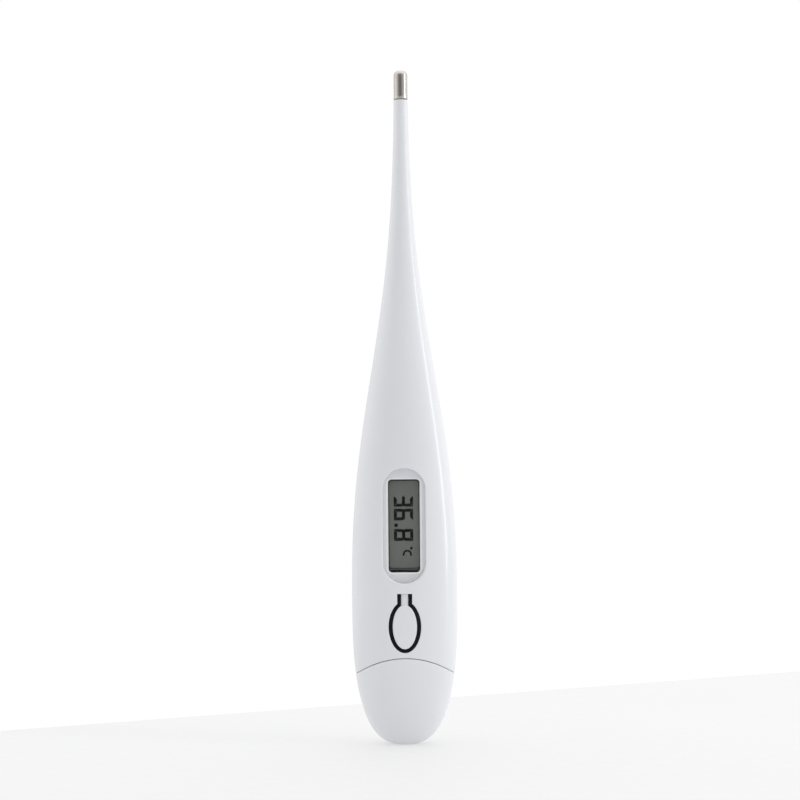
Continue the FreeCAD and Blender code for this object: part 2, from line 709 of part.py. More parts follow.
def make_snap_dome():
    """Thin sheet-metal dome on the board's front face, under the button's peg."""
    base = "-board_half_thickness"
    top = base + " - dome_height"
    turned_disc("snap_dome", "peg_height", [
        ("dome_radius", base), ("0.75 * dome_radius", base + " - 0.6 * dome_height"),
        ("0.4 * dome_radius", top + " + dome_sag"), ("0", top), ("0", top + " + dome_sheet"),
        ("0.4 * dome_radius", top + " + dome_sheet + dome_sag"),
        ("0.7 * dome_radius", base + " - 0.5 * dome_height"), ("dome_radius - dome_edge", base)])


def make_buzzer():
    """Piezo disc bonded to the carrier's back, its ceramic layer and two wires."""
    back = "carrier_back + buzzer_thickness"
    turned_disc("buzzer_disc", "buzzer_height", [
        ("0", "carrier_back"), ("buzzer_radius", "carrier_back"), ("buzzer_radius", back),
        ("0", back)])
    turned_disc("buzzer_ceramic", "buzzer_height", [
        ("0", back), ("ceramic_radius", back), ("ceramic_radius", back + " + ceramic_thickness"),
        ("0", back + " + ceramic_thickness")])
    wires = document.addObject("Part::Feature", "buzzer_wires")
    layer = sheet.buzzer_thickness + sheet.ceramic_thickness
    wires.Shape = Part.makeCompound([
        buzzer_wire(-sheet.wire_spread, sheet.buzzer_height + sheet.ceramic_wire_start, layer),
        buzzer_wire(sheet.wire_spread, sheet.buzzer_height + sheet.disc_wire_start,
                    sheet.buzzer_thickness)])
    keep(wires, "buzzer_wires")


def buzzer_wire(x, start, layer):
    """Short wire that lies on the disc, passes the carrier's cross bar and meets the board."""
    radius = sheet.wire_radius
    lie = sheet.carrier_back + layer + radius
    foot = sheet.board_half_thickness + radius
    bar = sheet.window_bottom
    route = [(lie, start), (lie, bar + sheet.wire_clear), (foot, bar + sheet.wire_landing),
             (foot, bar + sheet.wire_end)]
    return wire_tube([FreeCAD.Vector(x, y, z) for y, z in route], sheet.wire_bend, radius)


def make_board_parts():
    """Resin-covered chip, four chip parts and two solder joints."""
    face = "board_half_thickness"
    turned_disc("chip_blob", "blob_centre", [
        ("0", face), ("blob_radius", face), ("0.85 * blob_radius", face + " + 0.5 * blob_height"),
        ("0.5 * blob_radius", face + " + 0.9 * blob_height"), ("0", face + " + blob_height")])
    chips = [box("chip_%d" % k, "%g" % x, "%g + chip_width" % x, face, face + " + chip_thickness",
                 "%g" % z, "%g + chip_height" % z)
             for k, (x, z) in enumerate(CHIP_PLACES)]
    keep(document.addObject("Part::Compound", "chip_parts"), "chip_parts").Links = chips
    dots = []
    crown = "(lead_offset + lead_radius + solder_crown)"
    for name, front, back in (("front", "-" + crown, "-board_half_thickness"),
                              ("back", "board_half_thickness", crown)):
        dots.append(rod("solder_" + name, "0", "board_top - solder_drop", "solder_radius", front, back))
    joints = document.addObject("Part::Compound", "solder_pair")
    joints.Links = dots
    leads = document.getObject("sensor_leads_blank")
    keep(cut("solder_joints", joints, leads), "solder_joints")


def build():
    form = make_form()
    cavity = make_cavity()
    shell = make_housing(form, cavity)
    make_button(shell)
    make_button_seal(cavity)
    make_battery_cover(form)
    make_window_lens()
    make_probe_cap()
    make_cap_seal_ring()
    make_tip_filling()
    make_circuit_board()
    make_carrier()
    make_display()
    make_cell()
    make_contacts()
    make_snap_dome()
    make_buzzer()
    make_board_parts()
    document.recompute()


def check():
    """Stop on any failed object or bad shape."""
    for item in document.Objects:
        if {"Invalid", "Error"} & set(item.State):
            raise RuntimeError("%s: %s" % (item.Name, item.State))
    for item in SUB_PARTS:
        shape = item.Shape
        if shape.isNull() or not shape.isValid() or not shape.Solids:
            raise RuntimeError("bad shape: " + item.Label)
        print("%-20s solids %d volume %.3f" % (item.Label, len(shape.Solids), shape.Volume))


def write():
    os.makedirs("parts", exist_ok=True)
    for item in SUB_PARTS:
        item.Shape.exportStep("parts/%s.step" % item.Label)


build()
check()
write()
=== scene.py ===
import math

import bmesh
import bpy
import numpy as np
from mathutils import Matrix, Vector, geometry


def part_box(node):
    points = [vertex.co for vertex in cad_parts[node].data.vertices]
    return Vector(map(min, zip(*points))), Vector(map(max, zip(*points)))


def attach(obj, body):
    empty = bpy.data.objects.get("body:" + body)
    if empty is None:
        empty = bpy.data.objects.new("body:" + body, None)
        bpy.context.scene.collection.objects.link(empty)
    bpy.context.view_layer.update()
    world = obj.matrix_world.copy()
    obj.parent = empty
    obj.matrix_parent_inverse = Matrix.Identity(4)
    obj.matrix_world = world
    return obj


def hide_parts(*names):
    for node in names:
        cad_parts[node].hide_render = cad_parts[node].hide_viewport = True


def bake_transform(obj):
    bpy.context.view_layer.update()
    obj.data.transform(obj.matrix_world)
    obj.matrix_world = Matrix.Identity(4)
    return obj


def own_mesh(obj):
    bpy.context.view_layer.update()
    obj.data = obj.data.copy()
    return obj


# A stick-shaped clinical thermometer.  Metres: +Z to the metal tip, -Y out of the display,
# +X to the right.

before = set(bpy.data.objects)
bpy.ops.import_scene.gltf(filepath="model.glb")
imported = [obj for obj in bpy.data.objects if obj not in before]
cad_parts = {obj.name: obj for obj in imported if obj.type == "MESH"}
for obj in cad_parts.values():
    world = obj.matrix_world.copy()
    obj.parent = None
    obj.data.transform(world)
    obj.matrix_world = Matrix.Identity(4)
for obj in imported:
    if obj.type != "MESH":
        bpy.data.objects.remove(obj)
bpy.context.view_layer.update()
MM = 0.001


def span(node):
    """Lowest and highest corner of a CAD node."""
    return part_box(node)


# ---- Form of the casing -----------------------------------------------------------------------
# Each level of the casing is an ellipse.  Its half sizes follow a superellipse below the widest
# height, and above it a bell curve that ends in the stem.

HALF_WIDTH = span("housing")[1].x
HALF_DEPTH = span("housing")[1].y
WIDEST = 27.0 * MM
END_POWER, END_CUT = 2.75, 0.12 * MM
STEM_RADIUS = 1.19 * MM
WIDTH_TAPER, WIDTH_POWER = 51.6 * MM, 2.46
DEPTH_TAPER, DEPTH_POWER = 57.0 * MM, 2.8
STEM_TOP = span("cap_seal_ring")[0].z
HOUSING_WALL, COVER_WALL = 1.0 * MM, 1.2 * MM
BORE_RADIUS = 0.72 * MM
SEAM_RADIUS, SEAM_APEX, SEAM_GAP, SEAM_LIP = 14.6 * MM, 16.3 * MM, 0.12 * MM, 0.1 * MM
COLUMNS = 128
ANGLES = 2 * math.pi * np.arange(COLUMNS) / COLUMNS


def half_sizes(z, inset=0.0, core=STEM_RADIUS):
    """Half width and half depth of the form at height z, moved in by an inset."""
    z = np.asarray(z, float)
    drop = np.clip((WIDEST - z) / (WIDEST + END_CUT), 0.0, 1.0)
    below = (1.0 - drop ** END_POWER) ** (1.0 / END_POWER)
    sizes = []
    for half, taper, power in ((HALF_WIDTH, WIDTH_TAPER, WIDTH_POWER),
                               (HALF_DEPTH, DEPTH_TAPER, DEPTH_POWER)):
        bell = np.exp(-(np.maximum(z - WIDEST, 0.0) / taper) ** power)
        above = core + (half - inset - core) * bell
        sizes.append(np.where(z < WIDEST, half * below - inset, above))
    return sizes


def front_y(x, z, inset=0.0, core=STEM_RADIUS):
    """Y of the front surface over a point of the display plane."""
    width, depth = half_sizes(z, inset, core)
    return -depth * np.sqrt(np.maximum(1.0 - (np.asarray(x) / width) ** 2, 0.0))


def oval_ring(width, depth, z):
    """Ring with these half sizes: z is one height or one for each column.  Column 0 is in front."""
    z = np.broadcast_to(np.asarray(z, float), ANGLES.shape)
    return np.column_stack([width * np.sin(ANGLES), -depth * np.cos(ANGLES), z])


def round_ring(radius, z):
    """Level circle round the long axis."""
    return oval_ring(radius, radius, z)


def ring_at(z, inset=0.0, core=STEM_RADIUS):
    """Ring of the casing's form."""
    z = np.broadcast_to(np.asarray(z, float), ANGLES.shape)
    return oval_ring(*half_sizes(z, inset, core), z)


def seam_height(radius):
    """Height of the arched seam at each column, found in rounds as the width depends on it."""
    z = np.full(COLUMNS, SEAM_APEX)
    for _ in range(12):
        x = half_sizes(z)[0] * np.sin(ANGLES)
        z = SEAM_APEX - SEAM_RADIUS + np.sqrt(radius ** 2 - x ** 2)
    return z


# ---- Mesh building ----------------------------------------------------------------------------

NO_POINTS = np.zeros((0, 2))
GRID_CLEARANCE = 0.16 * MM
FILL_TOLERANCE = 1e-6
WELD_DISTANCE, SLIVER_LENGTH = 1e-7, 1e-8
SHARP_ANGLE = math.radians(50.0)


def inside(points, outline):
    """True for each point that lies inside a closed outline (both in the display plane)."""
    x, y = points[:, 0][:, None], points[:, 1][:, None]
    ax, ay = outline[:, 0][None], outline[:, 1][None]
    bx, by = np.roll(outline[:, 0], -1)[None], np.roll(outline[:, 1], -1)[None]
    crosses = (ay > y) != (by > y)
    rise = np.where(by == ay, 1.0, by - ay)
    left = x < (bx - ax) * (y - ay) / rise + ax
    return (np.sum(crosses & left, axis=1) % 2) == 1


def clear_of(points, outline, distance):
    """True for each point that is further than a distance from every point of an outline."""
    gaps = np.linalg.norm(points[:, None] - outline[None], axis=2).min(axis=1)
    return gaps > distance


class Shell:
    """Mesh built loop by loop: a loop is a list of point numbers."""

    def __init__(self):
        self.points = []
        self.faces = []

    def loop(self, points):
        """Add points and return their numbers."""
        start = len(self.points)
        self.points.extend([tuple(map(float, p)) for p in points])
        return list(range(start, len(self.points)))

    def bridge(self, first, second, closed=True):
        """Quads between two loops of the same length."""
        count = len(first)
        for k in range(count if closed else count - 1):
            n = (k + 1) % count
            self.faces.append((first[k], first[n], second[n], second[k]))

    def chain(self, loops, closed=True):
        """Bridge each loop to the next."""
        for first, second in zip(loops, loops[1:]):
            self.bridge(first, second, closed)

    def skin(self, rows, closed=True):
        """Add rows of points, bridge them in turn and return their loops."""
        made = [self.loop(points) for points in rows]
        self.chain(made, closed)
        return made

    def cap(self, loop):
        """Close a loop with a fan round its centre."""
        centre = np.mean([self.points[k] for k in loop], axis=0)
        middle = self.loop([centre])[0]
        for k, first in enumerate(loop):
            self.faces.append((first, loop[(k + 1) % len(loop)], middle))

    def prism(self, rows):
        """Closed solid through rows of points, with a fan over each end."""
        made = self.skin(rows)
        self.cap(made[0])
        self.cap(made[-1])

    def fill(self, outer, holes=(), grid=NO_POINTS, lift=None):
        """Triangles between loops in the display plane, through grid points lifted to Y."""
        known = [k for loop in [outer, *holes] for k in loop]
        flat = np.array([(self.points[k][0], self.points[k][2]) for k in known])
        outlines = []
        edges = []
        start = 0
        for loop in [outer, *holes]:
            outlines.append(flat[start:start + len(loop)])
            edges += [(start + k, start + (k + 1) % len(loop)) for k in range(len(loop))]
            start += len(loop)
        if len(grid):
            grid = grid[inside(grid, outlines[0])]
            for outline in outlines[1:]:
                grid = grid[~inside(grid, outline)]
            grid = grid[clear_of(grid, flat, GRID_CLEARANCE)]
        heights = lift(grid[:, 0], grid[:, 1]) if len(grid) else []
        extra = self.loop([(x, y, z) for (x, z), y in zip(grid, heights)])
        table = np.array(known + extra)
        coords = np.vstack([flat, grid]) if len(grid) else flat
        scaled = [Vector(c) for c in (coords / MM)]
        points, _, faces, origins, _, _ = geometry.delaunay_2d_cdt(scaled, edges, [], 0,
                                                                   FILL_TOLERANCE)
        points = np.array([tuple(p) for p in points]) * MM
        for face in faces:
            middle = np.mean(points[list(face)], axis=0)[None]
            if not inside(middle, outlines[0])[0]:
                continue
            if any(inside(middle, outline)[0] for outline in outlines[1:]):
                continue
            self.faces.append(tuple(int(table[origins[k][0]]) for k in face))

    def piece(self, name, material):
        """Object of the mesh, welded, with its faces outwards and smooth up to an angle."""
        mesh = bpy.data.meshes.new(name)
        mesh.from_pydata(self.points, [], self.faces)
        piece = bpy.data.objects.new(name, mesh)
        bpy.context.scene.collection.objects.link(piece)
        work = bmesh.new()
        work.from_mesh(mesh)
        bmesh.ops.remove_doubles(work, verts=work.verts, dist=WELD_DISTANCE)
        bmesh.ops.dissolve_degenerate(work, edges=work.edges, dist=SLIVER_LENGTH)
        bmesh.ops.recalc_face_normals(work, faces=work.faces)
        work.to_mesh(mesh)
        work.free()
        mesh.shade_smooth()
        mesh.set_sharp_from_angle(angle=SHARP_ANGLE)
        mesh.materials.append(material)
        return piece


def add(piece, body, slot, *nodes):
    """Ride on a body and stand for CAD nodes; the finish slot is not used."""
    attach(piece, body)
    if nodes:
        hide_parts(*nodes)
    return piece


# ---- Outlines in the display plane -------------------------------------------------------------
# An outline is an array of (x, z).

RECESS_CENTRE = 40.68 * MM
RECESS_HALF_WIDTH, RECESS_HALF_HEIGHT = 3.92 * MM, 10.6 * MM
BUTTON_CENTRE = 22.15 * MM
# Half width and half height of the keyhole's oval, and half width of its neck.
SLOT = (2.98 * MM, 4.77 * MM, 1.36 * MM)
PAD = (2.23 * MM, 4.07 * MM, 0.67 * MM)
SLOT_TOP = 28.26 * MM


def circle(step):
    """Angles round a circle, a step of degrees apart."""
    return np.radians(np.arange(0, 360, step))


def arc(cx, cz, rx, rz, start, end, count):
    """Points on an ellipse from one angle to another, degrees from +X towards +Z."""
    turn = np.radians(np.linspace(start, end, count))
    return np.column_stack([cx + rx * np.cos(turn), cz + rz * np.sin(turn)])


def capsule_outline(grow=0.0):
    """The recess round the window: upright, with round ends."""
    sides, ends = 24, 40
    radius = RECESS_HALF_WIDTH + grow
    reach = RECESS_HALF_HEIGHT - RECESS_HALF_WIDTH
    up = np.linspace(-reach, reach, sides + 2)[1:-1]
    right = np.column_stack([np.full(sides, radius), RECESS_CENTRE + up])
    left = np.column_stack([np.full(sides, -radius), RECESS_CENTRE - up])
    upper = arc(0, RECESS_CENTRE + reach, radius, radius, 0, 180, ends)
    lower = arc(0, RECESS_CENTRE - reach, radius, radius, 180, 360, ends)
    return np.vstack([right, upper, left, lower])


def keyhole_path(sizes, grow=0.0):
    """Open path down the left of the neck, round the oval and up the right of the neck."""
    around, neck = 120, 10
    width, height, throat = (size + grow for size in sizes)
    join = math.asin(throat / width)
    start = math.pi / 2 + join
    turn = np.linspace(start, start + 2 * math.pi - 2 * join, around)
    oval = np.column_stack([width * np.cos(turn), BUTTON_CENTRE + height * np.sin(turn)])
    meet = oval[0][1]
    rise = np.linspace(0, 1, neck + 1)[1:]
    right = np.column_stack([np.full(neck, throat), meet + (SLOT_TOP - meet) * rise])
    left = right[::-1] * (-1, 1)
    return np.vstack([left, oval, right])


def slot_outline(grow=0.0):
    """The slot's keyhole path closed across the top of the neck."""
    path = keyhole_path(SLOT, grow)
    across = 9
    lid = np.linspace(path[-1], path[0], across + 2)[1:-1]
    return np.vstack([path, lid])


def pad_outline(grow=0.0):
    """The button's oval."""
    count = 96
    return arc(0, BUTTON_CENTRE, PAD[0] + grow, PAD[1] + grow, 0, 360 - 360 / count, count)


def rounded_rectangle(half_width, low, high, corner, count=8, side=14):
    """Upright rectangle with count points round each corner and side points between two."""
    right, top, bottom = half_width - corner, high - corner, low + corner
    corners = [arc(cx, cz, corner, corner, start, start + 90, count)
               for cx, cz, start in ((right, top, 0), (-right, top, 90),
                                     (-right, bottom, 180), (right, bottom, 270))]
    joined = []
    for k, points in enumerate(corners):
        joined.append(points)
        following = corners[(k + 1) % 4][0]
        joined.append(np.linspace(points[-1], following, side + 2)[1:-1])
    return np.vstack(joined)


def on_surface(outline, inset=0.0, sink=0.0, core=STEM_RADIUS):
    """Outline laid on the front of the form, sunk towards +Y."""
    y = front_y(outline[:, 0], outline[:, 1], inset, core) + sink
    return np.column_stack([outline[:, 0], y, outline[:, 1]])


def at_depth(outline, y):
    """Outline laid on a flat plane."""
    return np.column_stack([outline[:, 0], np.full(len(outline), y), outline[:, 1]])


def rounding(radius, steps=5):
    """Run and drop at steps round a quarter circle, from (radius, 0) to (0, radius)."""
    return [(radius * (1 - math.sin(turn)), radius * (1 - math.cos(turn)))
            for turn in np.linspace(0, math.pi / 2, steps)]


def lip(outline_of, radius):
    """Rows that turn from the front surface into a hole, with a round edge."""
    return [on_surface(outline_of(run), sink=drop) for run, drop in rounding(radius)]


# ---- Housing ----------------------------------------------------------------------------------

LENS_FRONT, LENS_BACK = span("window_lens")[0].y, span("window_lens")[1].y
LEDGE_BACK = -3.15 * MM     # back of the ledge that carries the lens
RECESS_LIP, SLOT_LIP = 0.22 * MM, 0.14 * MM
OPENING_HALF_WIDTH, OPENING_HALF_HEIGHT, OPENING_CORNER = 2.89 * MM, 8.63 * MM, 0.7 * MM
OPENING_LOW, OPENING_HIGH = (RECESS_CENTRE - OPENING_HALF_HEIGHT,
                             RECESS_CENTRE + OPENING_HALF_HEIGHT)
# How far the plateau behind the recess, and the skirt from it to the wall, stand round the recess.
PLATEAU_GROW, SKIRT_GROW = 0.75 * MM, 0.85 * MM
STEM_EDGE, STEM_END = 0.03 * MM, (1.3 * MM, 1.24 * MM)
SPIGOT_RADIUS, SPIGOT_TOP = 1.13 * MM, span("housing")[1].z
# The front patch, which is filled round its holes, runs this many columns to each side.
PATCH_COLUMNS = 15
PATCH_ROWS = np.linspace(17.0 * MM, 53.0 * MM, 61)
PATCH_LOW, PATCH_HIGH = PATCH_ROWS[0], PATCH_ROWS[-1]
STEM_ROWS = PATCH_HIGH + (STEM_TOP - 0.1 * MM - PATCH_HIGH) * np.linspace(0, 1, 90)[1:]


def patch_grid(inset, core):
    """Grid points of the front patch, in the display plane."""
    rows = PATCH_ROWS[1:-1]
    turns = ANGLES[1] * np.arange(-PATCH_COLUMNS + 1, PATCH_COLUMNS)
    width = half_sizes(rows, inset, core)[0]
    x = width[:, None] * np.sin(turns)[None]
    z = np.repeat(rows[:, None], len(turns), axis=1)
    return np.column_stack([x.ravel(), z.ravel()])


def skin_with_patch(shell, low_rows, inset, core, holes):
    """Skin from the mouth to the stem, whose front patch is filled round hole loops."""
    rows = [shell.loop(ring_at(z, inset, core)) for z in PATCH_ROWS]
    lower = [shell.loop(points) for points in low_rows] + [rows[0]]
    shell.chain(lower)
    edge = PATCH_COLUMNS
    shell.chain([row[edge:COLUMNS - edge + 1] for row in rows], closed=False)
    across = [(k % COLUMNS) for k in range(-edge, edge + 1)]
    outer = [rows[0][k] for k in across]
    outer += [row[edge] for row in rows[1:-1]]
    outer += [rows[-1][k] for k in reversed(across)]
    outer += [row[-edge] for row in reversed(rows[1:-1])]
    shell.fill(outer, holes, patch_grid(inset, core), lambda x, z: front_y(x, z, inset, core))
    upper = [rows[-1]] + [shell.loop(ring_at(z, inset, core)) for z in STEM_ROWS]
    shell.chain(upper)
    return lower[0], upper[-1]


def mouth_rows(seam):
    """Rows from the seam up to just under the patch, with a round lower lip."""
    rows = [ring_at(seam + run, drop) for run, drop in reversed(rounding(SEAM_LIP))]
    start = seam + SEAM_LIP
    for share in np.linspace(0, 1, 8)[1:-1]:
        rows.append(ring_at(start + (PATCH_LOW - start) * share))
    return rows


def make_housing(material):
    """White casing with its wall, window recess, button slot, hollow stem and spigot."""
    shell = Shell()
    seam = seam_height(SEAM_RADIUS + SEAM_GAP)
    recess = shell.skin(lip(capsule_outline, RECESS_LIP)
                        + [at_depth(capsule_outline(), LENS_BACK)])
    slot = shell.skin(lip(slot_outline, SLOT_LIP)
                      + [on_surface(slot_outline(), HOUSING_WALL, core=BORE_RADIUS)])
    outer_mouth, outer_top = skin_with_patch(shell, mouth_rows(seam), 0.0, STEM_RADIUS,
                                             [recess[0], slot[0]])
    # Display opening through the recess floor and its ledge.
    opening = shell.skin([
        at_depth(rounded_rectangle(OPENING_HALF_WIDTH + grow, OPENING_LOW - grow,
                                   OPENING_HIGH + grow, OPENING_CORNER), y)
        for grow, y in ((0.08 * MM, LENS_BACK), (0.02 * MM, LENS_BACK + 0.02 * MM),
                        (0.0, LENS_BACK + 0.08 * MM), (0.0, LEDGE_BACK))])
    shell.fill(recess[-1], [opening[0]])
    plateau = shell.loop(at_depth(capsule_outline(PLATEAU_GROW), LEDGE_BACK))
    shell.fill(plateau, [opening[-1]])
    skirt = shell.loop(on_surface(capsule_outline(SKIRT_GROW), HOUSING_WALL, core=BORE_RADIUS))
    shell.bridge(plateau, skirt)
    inner_low = [ring_at(seam + (PATCH_LOW - seam) * share, HOUSING_WALL, BORE_RADIUS)
                 for share in np.linspace(0, 1, 6)[:-1]]
    inner_mouth, inner_top = skin_with_patch(shell, inner_low, HOUSING_WALL, BORE_RADIUS,
                                             [skirt, slot[-1]])
    shell.bridge(outer_mouth, inner_mouth)
    spigot = shell.skin([ring_at(STEM_TOP - STEM_EDGE), oval_ring(*STEM_END, STEM_TOP),
                         round_ring(SPIGOT_RADIUS, STEM_TOP),
                         round_ring(SPIGOT_RADIUS, SPIGOT_TOP),
                         round_ring(BORE_RADIUS, SPIGOT_TOP), round_ring(BORE_RADIUS, STEM_TOP)])
    shell.bridge(outer_top, spigot[0])
    shell.bridge(inner_top, spigot[-1])
    return shell.piece("housing_shell", material)


# ---- Battery cover ----------------------------------------------------------------------------

COLLAR_WIDTH, COLLAR_DEPTH, COLLAR_WALL = 8.04 * MM, 3.81 * MM, 0.65 * MM
COLLAR_BOTTOM, COLLAR_TOP, COLLAR_EDGE = 12.6 * MM, 17.2 * MM, 0.12 * MM
COVER_FLOOR = 1.5 * MM


def make_battery_cover(material):
    """Round-ended cup with the collar that goes into the housing."""
    shell = Shell()
    seam = seam_height(SEAM_RADIUS)
    rise = 1 - np.cos(np.radians(np.linspace(0, 90, 44)))
    rows = [ring_at((seam - SEAM_LIP) * share) for share in rise]
    rows += [ring_at(seam - run, drop) for run, drop in rounding(SEAM_LIP)[1:]]
    rows.append(oval_ring(COLLAR_WIDTH, COLLAR_DEPTH, seam))
    # Up the collar, over its rounded top and down its inside.
    edge = COLLAR_EDGE
    for inset, z in ((0.0, COLLAR_TOP - edge), (0.3 * edge, COLLAR_TOP - 0.3 * edge),
                     (edge, COLLAR_TOP), (COLLAR_WALL - edge / 2, COLLAR_TOP),
                     (COLLAR_WALL, COLLAR_TOP - edge / 2), (COLLAR_WALL, COLLAR_BOTTOM)):
        rows.append(oval_ring(COLLAR_WIDTH - inset, COLLAR_DEPTH - inset, z))
    for share in np.linspace(0, 1, 16):
        z = COLLAR_BOTTOM + (COVER_FLOOR - COLLAR_BOTTOM) * math.sin(share * math.pi / 2)
        rows.append(ring_at(z, COVER_WALL))
    shell.prism(rows)
    return shell.piece("battery_cover_shell", material)


# ---- Button and its ring ----------------------------------------------------------------------

PAD_BACK, PAD_EDGE = -4.25 * MM, 0.16 * MM
NECK_LOW, NECK_HIGH = 26.0 * MM, SLOT_TOP - 0.05 * MM
NECK_FRONT, NECK_BEVEL = -5.0 * MM, 0.1 * MM
PEG_HEIGHT = 19.3 * MM
PEG_TIP = span("button")[1].y
# Radius and Y of the peg, from inside the pad to its tip.
PEG = ((0.6 * MM, PAD_BACK - 0.2 * MM), (0.6 * MM, PEG_TIP - 0.15 * MM),
       (0.56 * MM, PEG_TIP - 0.05 * MM), (0.45 * MM, PEG_TIP))
SEAL_GAP = 0.03 * MM
# Across the strip from its outer to its inner side, and mm below the casing's surface.
SEAL_PROFILE = ((0, 0.5), (0.03, 0.26), (0.09, 0.17), (0.44, 0.16), (0.5, 0.11), (0.57, 0.06),
                (0.62, 0.06), (0.68, 0.11), (0.74, 0.16), (0.91, 0.17), (0.97, 0.26), (1, 0.5))


def make_button(material):
    """Oval pad with a rounded edge, its thinner neck and the peg behind."""
    shell = Shell()
    centre = (0, BUTTON_CENTRE)
    rows = [on_surface((pad_outline(-PAD_EDGE) - centre) * share + centre)
            for share in np.linspace(0.06, 1.0, 16)]
    rows += [on_surface(pad_outline(-run), 0, drop) for run, drop in rounding(PAD_EDGE, 6)[1:]]
    rows.append(at_depth(pad_outline(), PAD_BACK))
    shell.prism(rows)
    half, bevel = PAD[2], NECK_BEVEL
    section = ((-half, PAD_BACK), (-half, NECK_FRONT + bevel), (-half + bevel, NECK_FRONT),
               (half - bevel, NECK_FRONT), (half, NECK_FRONT + bevel), (half, PAD_BACK))
    shell.prism([[(x, y, z) for x, y in section] for z in np.linspace(NECK_LOW, NECK_HIGH, 8)])
    shell.prism([[(radius * math.cos(turn), y, PEG_HEIGHT + radius * math.sin(turn))
                  for turn in circle(15)] for radius, y in PEG])
    return shell.piece("button_pad", material)


def make_button_seal(material):
    """Soft strip with a fine raised rib that fills the slot round the button."""
    shell = Shell()
    outer = keyhole_path(SLOT)
    inner = keyhole_path(PAD, SEAL_GAP)
    rows = [on_surface(outer + (inner - outer) * share, sink=depth * MM)
            for share, depth in SEAL_PROFILE]
    back = span("button_seal")[1].y
    rows += [at_depth(inner, back), at_depth(outer, back)]
    made = shell.skin(rows, closed=False)
    shell.bridge(made[-1], made[0], closed=False)
    shell.faces.append(tuple(row[0] for row in made))
    shell.faces.append(tuple(row[-1] for row in made))
    return shell.piece("button_ring", material)


# ---- Lens and display -------------------------------------------------------------------------

LENS_EDGE, LENS_GAP = 0.12 * MM, -0.04 * MM
# The line is trimmed to the photographed display, a little inside the opening.
BORDER_LOW, BORDER_HIGH = OPENING_LOW + 0.12 * MM, OPENING_HIGH - 0.2 * MM
BORDER_INNER, BORDER_OUTER = 0.1 * MM, 0.42 * MM
BORDER_BACK, BORDER_FRONT = LENS_BACK - 0.002 * MM, LENS_BACK - 0.02 * MM
MASK_HALF_WIDTH, MASK_LOW, MASK_HIGH, MASK_CORNER = 2.74 * MM, 32.84 * MM, 48.95 * MM, 0.55 * MM
GASKET_CORNER = 0.3 * MM


def make_lens(material):
    """Clear capsule plate with a polished round edge."""
    shell = Shell()
    rows = [at_depth(capsule_outline(LENS_GAP - run), LENS_FRONT + drop)
            for run, drop in rounding(LENS_EDGE)]
    rows.append(at_depth(capsule_outline(LENS_GAP), LENS_BACK - 0.03 * MM))
    made = shell.skin(rows)
    shell.fill(made[0])
    shell.fill(made[-1])
    return shell.piece("window_pane", material)


def make_window_frame(material):
    """Fine white line behind the lens, round the display opening, lighter than the casing: a
    painted highlight for the bright rim round the opening.
    """
    shell = Shell()
    made = shell.skin([
        at_depth(rounded_rectangle(OPENING_HALF_WIDTH + grow, BORDER_LOW - grow,
                                   BORDER_HIGH + grow, OPENING_CORNER + grow), y)
        for grow, y in ((BORDER_INNER, BORDER_BACK), (BORDER_INNER, BORDER_FRONT),
                        (BORDER_OUTER, BORDER_FRONT), (BORDER_OUTER, BORDER_BACK))])
    shell.bridge(made[-1], made[0])
    return shell.piece("window_border", material)


def make_gasket(material):
    """Foam frame behind the opening, with a deeper band below the display."""
    shell = Shell()
    low, high = span("display_gasket")
    front, back = low.y, high.y
    outer = rounded_rectangle(high.x, low.z, high.z, GASKET_CORNER)
    inner = rounded_rectangle(MASK_HALF_WIDTH, MASK_LOW, MASK_HIGH, MASK_CORNER)
    rim = shell.skin([at_depth(outer, back), at_depth(outer, front)])
    hole = shell.skin([at_depth(inner, front), at_depth(inner, back)])
    shell.fill(rim[1], [hole[0]])
    shell.fill(rim[0], [hole[1]])
    return shell.piece("display_frame", material)


def make_glass_ledge(material):
    """Lower edge of the display glass, a pale line across the foam below the reading."""
    shell = Shell()
    front = span("display_gasket")[0].y
    low, high = MASK_LOW - 0.30 * MM, MASK_LOW - 0.12 * MM
    outline = rounded_rectangle(MASK_HALF_WIDTH - 0.06 * MM, low, high, 0.03 * MM, 4, 6)
    made = shell.skin([at_depth(outline, front + 0.01 * MM),
                       at_depth(outline, front - 0.006 * MM)])
    for loop in made:
        shell.fill(loop)
    return shell.piece("glass_ledge", material)


# The reading runs down the stick with its tops to the right.  Each sign has the height Z where it
# starts, and X of its foot.
DIGIT_SEGMENTS = {"3": "abcdg", "6": "acdefg", "8": "abcdefg"}
DIGITS = (("3", 46.18 * MM, 2.04 * MM), ("6", 43.76 * MM, 2.16 * MM), ("8", 40.02 * MM, 2.2 * MM))
DIGIT_FOOT, DIGIT_HEIGHT, DIGIT_STROKE, DIGIT_GAP = -1.87 * MM, 3.56 * MM, 0.57 * MM, 0.03 * MM
POINT_RADIUS, POINT_START, POINT_FOOT = 0.35 * MM, 40.72 * MM, DIGIT_FOOT + 0.4 * MM
DEGREE_RADIUS, DEGREE_START, DEGREE_FOOT = 0.26 * MM, 36.48 * MM, 1.3 * MM
LETTER_START, LETTER_FOOT, LETTER_HEIGHT = 36.18 * MM, -0.28 * MM, 1.69 * MM
LETTER_BAR, LETTER_CORNER, LETTER_ARM, LETTER_SLANT = 0.34 * MM, 0.8 * MM, 1.14 * MM, 0.08 * MM
INK_LIFT, INK_DEPTH = 0.006 * MM, 0.004 * MM


